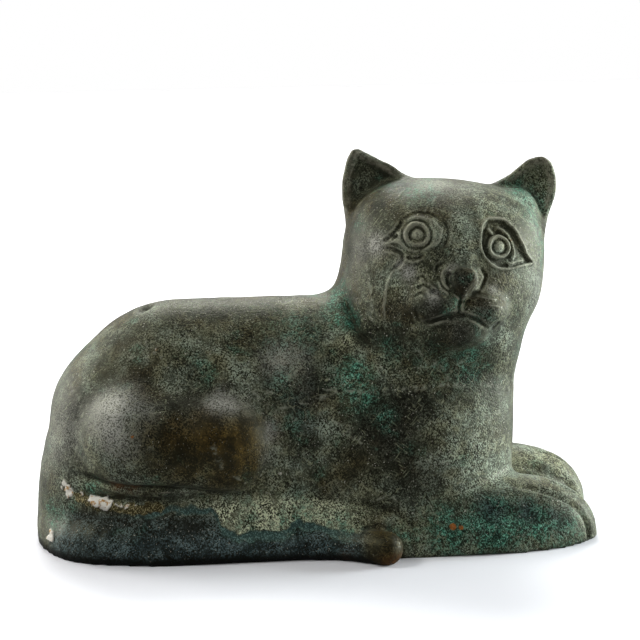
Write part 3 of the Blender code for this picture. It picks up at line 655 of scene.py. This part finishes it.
def crumbs(fade=0.0):
    return Line(SIDES[RIGHT], 8, CRUMBS, 1.3, 1.0, fade)


def layer_edge(x):
    """How high the dusty layer's lower edge is at each place along the cat."""
    return np.interp(x, *np.array(LAYER_EDGE).T)


BODY, TAIL, HEAD = body_masses(), [tail()], head_masses()
BODY_LINES = neck_lines() + body_lines() + toe_lines()
FACE_MARKS = eye_marks() + muzzle_marks()
SCRATCHES = scratches()
HEAD_LOWEST = HEAD_CENTRE[2] - 28
BODY_HIGHEST = HEAD_CENTRE[2] + 20


def joined(masses, points):
    total = np.full(len(points), FAR)
    for mass in masses:
        near = ((points > mass.low) & (points < mass.high)).all(axis=1)
        total[near] = union(total[near], mass.distance(points[near]), mass.soft)
    return total


def cut(points):
    """How deep the lines on the body are cut at each point."""
    return sum(line.offset(points) for line in BODY_LINES)


def form(points):
    """How far each point is outside the finished form, in millimetres. It is negative inside."""
    low = points[:, 2] < BODY_HIGHEST
    high = points[:, 2] > HEAD_LOWEST
    body, head = np.full(len(points), FAR), np.full(len(points), FAR)
    body[low] = union(joined(BODY, points[low]), joined(TAIL, points[low]), 1.5)
    head[high] = joined(HEAD, points[high])
    return np.maximum(union(body, head, 4) + cut(points), -points[:, 2])


def ragged(points, reach, size, seed):
    """The points, each shifted by noise, so that the patches have uneven edges."""
    shift = [noise(points, size, seed + axis, 3) for axis in range(3)]
    return points + reach * np.column_stack(shift)


def relief(points):
    """How deep the marks on the face are let in at each point. It is negative where they are raised."""
    found = np.zeros(len(points))
    near = (points[:, 2] > HEAD_LOWEST) & (points[:, 1] < -12)
    places = ragged(points[near], 0.28, 1.9, 91)
    found[near] = sum(mark.offset(places) for mark in FACE_MARKS)
    return found


# ---------------- the mesh


def with_modifier(obj, kind, **settings):
    modifier = obj.modifiers.new(kind, kind)
    for name, value in settings.items():
        setattr(modifier, name, value)
    bpy.context.view_layer.update()
    graph = bpy.context.evaluated_depsgraph_get()
    made = bpy.data.meshes.new_from_object(obj.evaluated_get(graph))
    obj.modifiers.clear()
    obj.data = made


def read_mesh(mesh):
    count = len(mesh.vertices) * 3
    points, normals = np.empty(count, np.float32), np.empty(count, np.float32)
    mesh.vertices.foreach_get("co", points)
    mesh.vertex_normals.foreach_get("vector", normals)
    return points.reshape(-1, 3).astype(float), normals.reshape(-1, 3).astype(float)


def write_mesh(mesh, points):
    """Puts the mesh's points where they are given, and none under the ground."""
    points[:, 2] = np.maximum(points[:, 2], 0)
    mesh.vertices.foreach_set("co", points.astype(np.float32).ravel())
    mesh.update()


def settle(obj, rounds, longest=0.8, where=None):
    """Moves the mesh's points most of the way onto the form, each round, along its own normals."""
    for _ in range(rounds):
        points, normals = read_mesh(obj.data)
        chosen = slice(None) if where is None else where(points)
        move = np.clip(0.8 * form(points[chosen]), -longest, longest)
        points[chosen] -= move[:, None] * normals[chosen]
        write_mesh(obj.data, points)


def subdivide(obj, where):
    """Halves the faces whose every corner is where it is called for."""
    mesh = bmesh.new()
    mesh.from_mesh(obj.data)
    wanted = where(read_mesh(obj.data)[0])
    edges = [edge for edge in mesh.edges if all(wanted[corner.index] for corner in edge.verts)]
    bmesh.ops.subdivide_edges(mesh, edges=edges, cuts=1, use_grid_fill=True)
    bmesh.ops.triangulate(mesh, faces=[face for face in mesh.faces if len(face.verts) > 4])
    mesh.to_mesh(obj.data)
    mesh.free()


def fine(points):
    """Where the relief needs a half-millimetre mesh: the head's front and ears, paws, tail and creases."""
    x, y, z = points.T
    ahead, across, up = in_head(points).T
    front = (ahead > 2) & (np.abs(across) < 23) & (up > -19)
    ears = (up > 14) & (np.abs(across) > 8)
    side = (y < -10) & (z < 21.5)
    toes = (x > 48) & (z < 18)
    return (front | ears | side | toes) & (z > 0.2)


def finest(points):
    """Where it needs a quarter of a millimetre: the face, the crust, the layer's edge and the scars."""
    x, y, z = points.T
    ahead, across, up = in_head(points).T
    found = (ahead > 9) & (np.abs(across) < 19.5) & (up > -17) & (up < 14.5)
    for *place, radius, _ in CRUST:
        found |= ((points - place) ** 2).sum(axis=1) < (radius * 1.6) ** 2
    for scar in SCRATCHES:
        found |= scar.offset(points) > 1e-3
    found |= (np.abs(z - layer_edge(x)) < 1.6) & (y < -18) & (np.abs(x + 12) < 34)
    return found | (crumbs().offset(points) > 0.2)


def make_surface():
    cat = bpy.data.objects.new("cat_surface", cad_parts["bronze_cat"].data.copy())
    bpy.context.scene.collection.objects.link(cat)
    cat.data.transform(Matrix.Scale(1 / MM, 4))
    with_modifier(cat, "REMESH", mode="VOXEL", voxel_size=1.1)
    settle(cat, 4)
    with_modifier(cat, "SMOOTH", factor=0.5, iterations=10)
    settle(cat, 5, longest=0.5)
    subdivide(cat, fine)
    settle(cat, 3, where=fine)
    subdivide(cat, finest)
    settle(cat, 4, where=finest)
    return cat


def patch(points, spots, sharp=2.0):
    """1 in the middle of a patch, falling to 0 past its radius, from the strongest of the spots."""
    found = np.zeros(len(points))
    for *place, radius, strength in spots:
        share = np.linalg.norm(points - place, axis=1) / radius
        found = np.maximum(found, strength * np.exp(-(share**sharp)))
    return found


def layer(points):
    """Above the ragged lower edge of the dusty layer on the right hind foot, and in the film below it."""
    x, y, z = points.T
    edge = layer_edge(x) + 1.3 * noise(points, 2.4, 31, 3)
    side = step(-y, 13, 17) * step(x, -52, -40) * step(-x, -22, -18) * step(-z, -16.5, -12.5)
    film = edge - 1.9 + 1.1 * noise(points, 3.1, 32, 3)
    above_edge, above_film = step(z, edge - 0.2, edge + 0.25), step(z, film - 0.25, film + 0.35)
    return side * above_edge, side * (above_film - above_edge)


def patches(points):
    """How strong each kind of patina is at each point."""
    x, y, z = points.T
    local = in_head(points)
    left = y > 2
    mirrored = ragged(points, 2.6, 6, 41)
    mirrored[left, 1] *= -1
    weaker = np.where(left, 0.65, 1.0) * step((local**2).sum(axis=1), 24**2, 27**2)
    near = ragged(local, 1.0, 4, 51)
    found = {
        name: np.maximum(patch(mirrored, rows) * weaker, patch(near, HEAD_PATCHES.get(name, [])))
        for name, rows in BODY_PATCHES.items()
    }
    found["layer"], film = layer(points)
    found["film"] = film * step(-x, -6, 1)
    found["dusty"] = found["layer"] * step(-x, -10, 3) * step(x, -36, -24)
    found["far"] = step(y, -3, 9) * step(-x, -50, -42)
    # A painted contact shadow along the lowest few millimetres, behind the paws.
    found["foot"] = step(-z, -3, -1) * step(-x, -12, -6)
    tip = patch(points, [TAIL_TIP], 6)
    # Blue-black along the foot of the body, but for the dusty layer and its film.
    band = step(-z, -14, -10.5) * step(np.abs(y), 10, 16) * step(-x, -12, -4) * (1 - 0.3 * step(z, 4, 10))
    band *= (1 - 0.6 * found["far"]) * (1 - found["layer"] - found["film"])
    for name, more in (
        ("blue", band),
        ("brown", 0.55 * tip),
        ("rust", patch(ragged(points, 1, 2, 61), TIP_RUST)),
        # The painted contact shadow darkens the dark mask too.
        ("dark", np.maximum(0.3 * tip, found["foot"])),
        ("pale", patch(points, [LEFT_PAW])),
    ):
        found[name] = np.maximum(found[name], more)
    found["blue"] *= 1 - tip
    crust = patch(ragged(points, 1.3, 1.4, 71), CRUST, 4)
    found["crust"] = step(crust + 0.3 * noise(points, 0.8, 72, 2), 0.35, 0.6)
    streak = crumbs(0.12).offset(ragged(points, 0.8, 1.5, 74))
    found["crumbs"] = step(streak + 0.55 * noise(points, 1.0, 75, 3), 0.42, 0.62)
    found["pit"] = patch(ragged(points, 0.4, 1.5, 73), [PIT], 3)
    return found


def weather(cat):
    """Dents and waves of the cast and corroded surface, and its deposits and scars, along the normals."""
    points, normals = read_mesh(cat.data)
    ahead, _, up = in_head(points).T
    found = patches(points)
    found["face"] = np.clip((ahead - 8) / 6, 0, 1) * np.clip((up + 22) / 5, 0, 1)
    found["scar"] = np.max([scar.offset(points) for scar in SCRATCHES], axis=0)
    height = WAVE_HEIGHT * noise(points, 11, 1, 2) + DENT_HEIGHT * noise(points, 2.6, 2, 2)
    height *= 1 - 0.65 * np.max([found["face"], found["brown"], found["blue"]], axis=0)
    height -= relief(points) + PIT_DEPTH * found["pit"]
    height += found["crust"] * (CRUST_HEIGHT + 0.3 * noise(points, 1.0, 3, 2))
    height += CRUMB_HEIGHT * found["crumbs"]
    height += LAYER_HEIGHT * found.pop("layer") * (1 + 0.4 * noise(points, 1.8, 4, 2))
    height += SCAR_HEIGHT * found["scar"]
    write_mesh(cat.data, points + height[:, None] * normals)
    return found


def carved(points, normals, depth, reach):
    """How much deeper a place is cut than those round it, at a reach. It is negative on a ridge."""
    first = np.cross(normals, [0.31, 0.17, 0.93])
    first /= np.linalg.norm(first, axis=1)[:, None]
    second = np.cross(normals, first)
    ways = [math.cos(turn) * first + math.sin(turn) * second for turn in np.arange(8) * math.pi / 4]
    return depth(points) - sum(depth(points + reach * way) for way in ways) / len(ways)


def add_masks(cat, found):
    """Writes the patina, and where the surface is hollow or proud, as attributes. Returns their names."""
    points, normals = read_mesh(cat.data)
    _, across, up = in_head(points).T
    outside, inside = points + OUT * normals, points - IN * normals
    ears = step(up, 14, 18) * step(np.abs(across), 11, 15)
    found["hollow"] = (1 - (form(outside) + relief(outside)) / OUT) * (1 - 0.8 * ears)
    found["proud"] = 1 + (form(inside) + relief(inside)) / IN
    found["carved"] = carved(points, normals, relief, 0.75) / 0.3
    creased = np.maximum(step(-points[:, 0], 14, 22), step(points[:, 2], 25, 32))
    found["cut"] = creased * carved(points, normals, cut, 1.8) / 1.1
    for name, values in found.items():
        written = cat.data.attributes.new(name, "FLOAT", "POINT")
        written.data.foreach_set("value", np.clip(values, -1, 1).astype(np.float32))
    return list(found)


cat = make_surface()
MASKS = add_masks(cat, weather(cat))
cat.data.transform(Matrix.Scale(MM, 4))
cat.data.shade_smooth()

# ---------------- shader nodes

TREE = None  # the tree that new nodes go into


class Value:
    """A node's output. The signs + - * make nodes that work on it, and | takes the greater."""

    def __init__(self, socket):
        self.socket = socket

    def __add__(self, other):
        return maths("ADD", self, other)

    def __sub__(self, other):
        return maths("SUBTRACT", self, other)

    def __rsub__(self, other):
        return maths("SUBTRACT", other, self)

    def __mul__(self, other):
        return maths("MULTIPLY", self, other)

    def __or__(self, other):
        return maths("MAXIMUM", self, other)


def set_up(made, inputs):
    """Links a node's inputs to values, or sets them to numbers, places or colours."""
    for name, value in inputs.items():
        socket = made.inputs[name]
        if isinstance(value, Value):
            TREE.links.new(value.socket, socket)
        else:
            socket.default_value = (*value, 1) if socket.type == "RGBA" else value


def node(kind, inputs, output=0, **settings):
    """One output of a new node, once its settings are made and its inputs set up."""
    made = TREE.nodes.new("ShaderNode" + kind)
    for name, value in settings.items():
        setattr(made, name, value)
    set_up(made, inputs)
    return Value(made.outputs[output])


def maths(operation, *values, clamp=False):
    return node("Math", dict(enumerate(values)), operation=operation, use_clamp=clamp)


def attribute(name):
    return node("Attribute", {}, "Fac", attribute_name=name)


def position():
    return node("TexCoord", {}, "Object")


def ramp(value, low, high, to_low=0, to_high=1):
    """A smooth change from one number to another as the value goes from low to high."""
    inputs = {"Value": value, "From Min": low, "From Max": high, "To Min": to_low, "To Max": to_high}
    return node("MapRange", inputs, interpolation_type="SMOOTHSTEP")


def above(value, level, sharp):
    """0 below a level, rising to 1 a little way above it."""
    return maths("MULTIPLY", value - level, sharp, clamp=True)


def grain(size, detail=3, rough=0.6, seed=0, slant=0, drawn=1):
    """Noise whose bumps are about a size, in millimetres, across, and drawn out along a slant."""
    layout = {
        "Vector": position(),
        "Location": (seed, seed * 0.7, seed * 1.3),
        "Rotation": (0, math.radians(slant), 0),
        "Scale": (drawn, 1, 1),
    }
    vector = node("Mapping", layout, vector_type="TEXTURE")
    inputs = {"Vector": vector, "Scale": 1 / (size * MM), "Detail": detail, "Roughness": rough}
    return node("TexNoise", inputs)


def mix(share, first, second):
    return node("Mix", {"Factor": share, 6: first, 7: second}, 2, data_type="RGBA")


def coated(colour, *coats):
    """A colour under coats, each of them a share and a colour."""
    for share, coat in coats:
        colour = mix(share, colour, coat)
    return colour


def scaled(colour, share):
    return node("VectorMath", {0: colour, "Scale": share}, operation="SCALE")


def blotches(rows):
    """1 at each place, in millimetres, falling to 0 at its radius, with an uneven edge."""
    found = maths("ADD", 0, 0)  # nothing yet
    for *at, radius in rows:
        inputs = {0: position(), 1: [value * MM for value in at]}
        reach = node("VectorMath", inputs, "Value", operation="DISTANCE")
        found |= ramp(reach, radius * MM, 0.3 * radius * MM)
    return above(found * grain(0.8, 2, 0.6, 1.9), 0.22, 7)


def hairlines(size, width):
    """Thin wandering lines, where the cells of a warped pattern meet."""
    reach = size * 1.2 * MM
    warp = node("TexNoise", {"Vector": position(), "Scale": 1 / reach, "Detail": 3}, "Color")
    moved = node("VectorMath", {0: warp, 1: (reach, reach, reach), 2: position()}, operation="MULTIPLY_ADD")
    cells = {"Vector": moved, "Scale": 1 / (size * MM)}
    edge = node("TexVoronoi", cells, "Distance", feature="DISTANCE_TO_EDGE")
    return ramp(edge, 0, width / size, 1, 0)


def new_material(name):
    """A new material and its shader. Nodes made next go into its tree."""
    global TREE
    material = bpy.data.materials.new(name)
    material.use_nodes = True
    TREE = material.node_tree
    return material, TREE.nodes["Principled BSDF"]


# ---------------- the aged bronze


def signals():
    """The masks on the mesh, and the noises and mixes of them that several finishes share."""
    on = SimpleNamespace(**{name: attribute(name) for name in MASKS})
    on.drift = grain(8, 3, 0.6, 2.3)
    on.medium = grain(4.5, 4, 0.65, 0.31)
    on.small = grain(1.2, 2, 0.6, 0.11)
    # The dust lies brushed, in short marks that cross.
    brushed = grain(0.28, 1, 0.5, 0.53, 62, 2) + grain(0.28, 1, 0.5, 2.9, -40, 1.7)
    on.specks = brushed * 0.42 + on.small * 0.16
    on.thin = on.brown * 1.1 + on.blue * 0.75 + on.bare * 0.55
    on.calm = ramp(on.far, 0, 1, 1, 0.5)
    return on


def patina(on):
    """Dark olive, paler where the grey-green dust lies thick, brown on the haunch and blue-black low down."""
    # The pale patches thicken the dust. A few of them paint light, on the paw's lower edge and beside the
    # tail's knob.
    thick = ramp(grain(20, 3, 0.55), 0.35, 0.65) * 0.3 + ramp(on.drift, 0.36, 0.64) * 0.4
    thick += ramp(on.medium, 0.36, 0.64) * 0.3 + on.pale * 0.75 + on.face * 0.02
    thick -= on.thin * 0.6 + on.dark * 0.8 + on.far * 0.2
    earth = mix(ramp(grain(12, 3, 0.6, 5.1), 0.46, 0.62), (0.019, 0.022, 0.014), (0.027, 0.022, 0.01))
    dust = mix(ramp(on.drift, 0.4, 0.6), (0.12, 0.125, 0.078), (0.112, 0.132, 0.098))
    umber = mix(ramp(on.medium, 0.38, 0.62), (0.016, 0.01, 0.002), (0.046, 0.029, 0.006))
    slate = mix(ramp(on.medium, 0.4, 0.6), (0.014, 0.024, 0.027), (0.036, 0.053, 0.054))
    colour = coated(
        earth,
        (ramp(thick, -0.05, 1.5), dust),
        (on.brown, umber),
        (on.blue * 0.9, slate),
        (on.bare * 0.7, (0.032, 0.032, 0.027)),
        (on.dusty * 0.9, (0.27, 0.28, 0.185)),
    )
    # The dark patches darken the colour. Some of them are painted shade: on the head's right side, in the
    # jowl and foreleg creases, and the contact shadow along the bottom edge.
    return scaled(colour, ramp(on.dark, 0, 1, 1, 0.55))


def speckled(on, colour):
    """The grain of the dust, whose pale specks and dark pores stand as far either side of it in tone."""
    coarse = ramp(on.brown + on.polish + on.face * 0.5, 0.2, 0.9, 33, 13)
    coarse *= ramp(grain(3.4, 3, 0.6, 7.7), 0.38, 0.62, 0.4, 1.3) * on.calm
    stops = (on.specks - 0.5) * coarse + (on.medium - 0.5) * 4 + (grain(2.2, 3, 0.65, 3.9) - 0.5) * 2.5
    strokes = above(grain(0.4, 1, 0.5, 3.1, 38, 9) | grain(0.42, 1, 0.5, 4.7, -52, 8), 0.64, 14)
    strokes *= ramp(grain(6, 3, 0.6, 6.3), 0.47, 0.6) * ramp(on.thin, 0.1, 0.5, 0.8, 0)
    flecks = above(grain(0.36, 0, 0.5, 8.3), 0.77, 20) * ramp(on.brown, 0.1, 0.6, 0.8, 0.25)
    return coated(
        scaled(colour, maths("MINIMUM", maths("POWER", 2, stops), 3.2)),
        (strokes * on.calm, (0.24, 0.255, 0.16)),
        (flecks * on.calm, (0.5, 0.49, 0.4)),
    )


def with_verdigris(on, colour):
    """Verdigris, dull where it is thin and bright in its grains, and the film below the dusty layer."""
    green = on.teal + ramp(grain(9, 4, 0.6, 0.77), 0.56, 0.7) * 0.3
    green *= ramp(on.brown + on.blue * 0.7, 0.2, 0.8, 1, 0)
    green *= ramp(grain(1.7, 3, 0.65, 5.9), 0.42, 0.6, 0.35, 1.25)
    on.grains = green * above(on.specks, 0.485, 16)
    bright = mix(ramp(grain(0.5, 1, 0.5, 0.91), 0.4, 0.6), (0.05, 0.21, 0.135), (0.2, 0.46, 0.32))
    film = mix(above(on.specks, 0.5, 12), (0.03, 0.06, 0.055), (0.13, 0.22, 0.19))
    return coated(
        colour,
        (green * ramp(on.small, 0.35, 0.6, 0.25, 0.7), (0.016, 0.062, 0.045)),
        (on.grains, bright),
        (on.film, film),
    )


def with_hollow_shade(on, colour):
    """Painted shade in the hollows and along the cut lines, dust on the ridges of the relief, and root marks.
    """
    # Near-black painted shade where the surface is hollow, carved or creased.
    hollow_shade = ramp(on.hollow, 0.15, 0.6) * ramp(on.small, 0.3, 0.6, 0, 0.6)
    hollow_shade |= ramp(on.carved | on.cut, 0.08, 0.7, 0, 0.75)
    ridge = ramp(on.carved * -1, 0.06, 0.6) * ramp(on.small, 0.32, 0.55, 0.45, 1)
    roots = hairlines(3.6, 0.1) * ramp(grain(9, 3, 0.6, 1.7), 0.5, 0.62)
    roots *= ramp(on.thin, 0.1, 0.5, 0.6, 0) * on.calm
    return coated(
        colour,
        (hollow_shade, (0.008, 0.009, 0.006)),
        (ridge * 0.65, (0.27, 0.275, 0.205)),
        (roots, (0.27, 0.28, 0.18)),
    )


def with_deposits(on, colour):
    """Rubbed metal with painted highlights, pale rims, scars, rust, crumbs and crust, the black of the pit,
    and the painted contact shadow along the foot.
    """
    # Pale rubbed metal where the spots lie, which also paints the highlights on the hip, the knee and the
    # face.
    on.worn = on.polish * ramp(on.specks, 0.42, 0.55, 0.15, 1)
    rust = on.rust | blotches(RUST_SPOTS)
    crumbly = mix(above(on.specks, 0.5, 14), (0.035, 0.028, 0.01), (0.3, 0.26, 0.13))
    cream = mix(ramp(on.small, 0.35, 0.49), (0.42, 0.24, 0.08), (0.78, 0.75, 0.66))
    return coated(
        colour,
        (on.worn, (0.46, 0.46, 0.41)),
        (ramp(on.proud, 0.35, 0.8) * ramp(on.small, 0.35, 0.65, 0.15, 0.8), (0.24, 0.225, 0.17)),
        (on.scar * ramp(on.small, 0.44, 0.6, 0, 0.6), (0.3, 0.315, 0.24)),
        (rust * ramp(on.small, 0.35, 0.55, 0.3, 1), (0.26, 0.085, 0.018)),
        (on.crumbs, crumbly),
        (on.crust, cream),
        # Black in the pit, and the painted contact shadow along the bottom edge behind the paws.
        (on.pit | on.foot * 0.85, (0.004, 0.004, 0.004)),
    )


def aged_bronze():
    material, shader = new_material("aged_bronze")
    on = signals()
    colour = patina(on)
    for finish in (speckled, with_verdigris, with_hollow_shade, with_deposits):
        colour = finish(on, colour)
    # Dust is matt; the metal and the smooth patina between its grains are not.
    matt = maths("ADD", ramp(on.specks, 0.42, 0.56), on.grains + on.crust, clamp=True)
    shine = maths("ADD", on.brown + on.worn, (on.blue + on.bare) * 0.6, clamp=True)
    height = on.small * 0.5 + on.specks * 0.9
    inputs = {
        "Base Color": colour,
        "Roughness": matt * 0.3 + 0.42 - shine * 0.08,
        "Metallic": on.worn * 0.5,
        "IOR": 1.4,
        "Specular IOR Level": 0.5 - on.dark * 0.25,
        "Specular Tint": (1, 0.98, 0.6),
        "Normal": node("Bump", {"Strength": 0.5 - shine * 0.36, "Distance": 0.4 * MM, "Height": height}),
    }
    set_up(shader, inputs)
    return material


cat.data.materials.clear()
cat.data.materials.append(aged_bronze())
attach(cat, "root")
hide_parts("bronze_cat")

# ---------------- floor, light and camera

bpy.ops.mesh.primitive_plane_add(size=1.4)
floor = bpy.context.object
floor.name = "floor"
floor_material, floor_shader = new_material("pale_floor")
# The floor looks white, and gives back less light to the cat than it shows.
seen = node("LightPath", {}, "Is Camera Ray")
set_up(floor_shader, {"Roughness": 0.8, "Base Color": mix(seen, (0.22, 0.22, 0.23), (0.9, 0.9, 0.92))})
floor.data.materials.append(floor_material)


def stand(name, data, aim, azimuth, elevation, distance):
    """Puts a light or the camera at angles round from the front, to the right, and up from its aim."""
    turn, rise = math.radians(azimuth), math.radians(elevation)
    towards = Vector((math.sin(turn) * math.cos(rise), -math.cos(turn) * math.cos(rise), math.sin(rise)))
    holder = bpy.data.objects.new(name, data)
    bpy.context.scene.collection.objects.link(holder)
    holder.location = aim + towards * distance
    holder.rotation_euler = towards.to_track_quat("Z", "Y").to_euler()
    return holder


def soft_light(name, azimuth, elevation, distance, size, power, tint=(1, 1, 1)):
    light = bpy.data.lights.new(name, "AREA")
    light.shape = "DISK"
    light.size = size
    light.energy = power
    light.color = tint
    holder = stand(name, light, LIT, azimuth, elevation, distance)
    holder.visible_camera = False
    return holder


LIT = Vector((0, 0, 0.045))
soft_light("left_light", -122, 12, 0.7, 0.35, 3.6)
soft_light("upper_left_light", -80, 45, 0.7, 0.14, 1.45)
soft_light("right_light", 96, 8, 0.8, 0.4, 12.4, (0.93, 1, 1.04))
soft_light("back_light", 180, 45, 0.8, 0.5, 6.2)
soft_light("front_fill", 12, 30, 1.4, 0.8, 5.2).visible_glossy = False

# The studio is dim in front of the cat and brighter behind it, and white where the camera sees it.
world = bpy.data.worlds.new("studio")
bpy.context.scene.world = world
world.use_nodes = True
TREE = world.node_tree
away = node("SeparateXYZ", {"Vector": node("TexCoord", {}, "Generated")}, "Y")
shade = ramp(away, -0.7, 0.5, 0.03, 0.6) | node("LightPath", {}, "Is Camera Ray")
set_up(TREE.nodes["Background"], {"Color": shade})

AIM = Vector((0.0005, 0, 0.052))
SPAN = 0.1536  # the width seen at the aim
DISTANCE = 0.6

camera = bpy.data.cameras.new("camera")
camera.sensor_width = 36
camera.lens = camera.sensor_width / SPAN * DISTANCE
camera.clip_start = 0.01
bpy.context.scene.camera = stand("camera", camera, AIM, -8, 14, DISTANCE)
bpy.context.scene.view_settings.view_transform = "Standard"
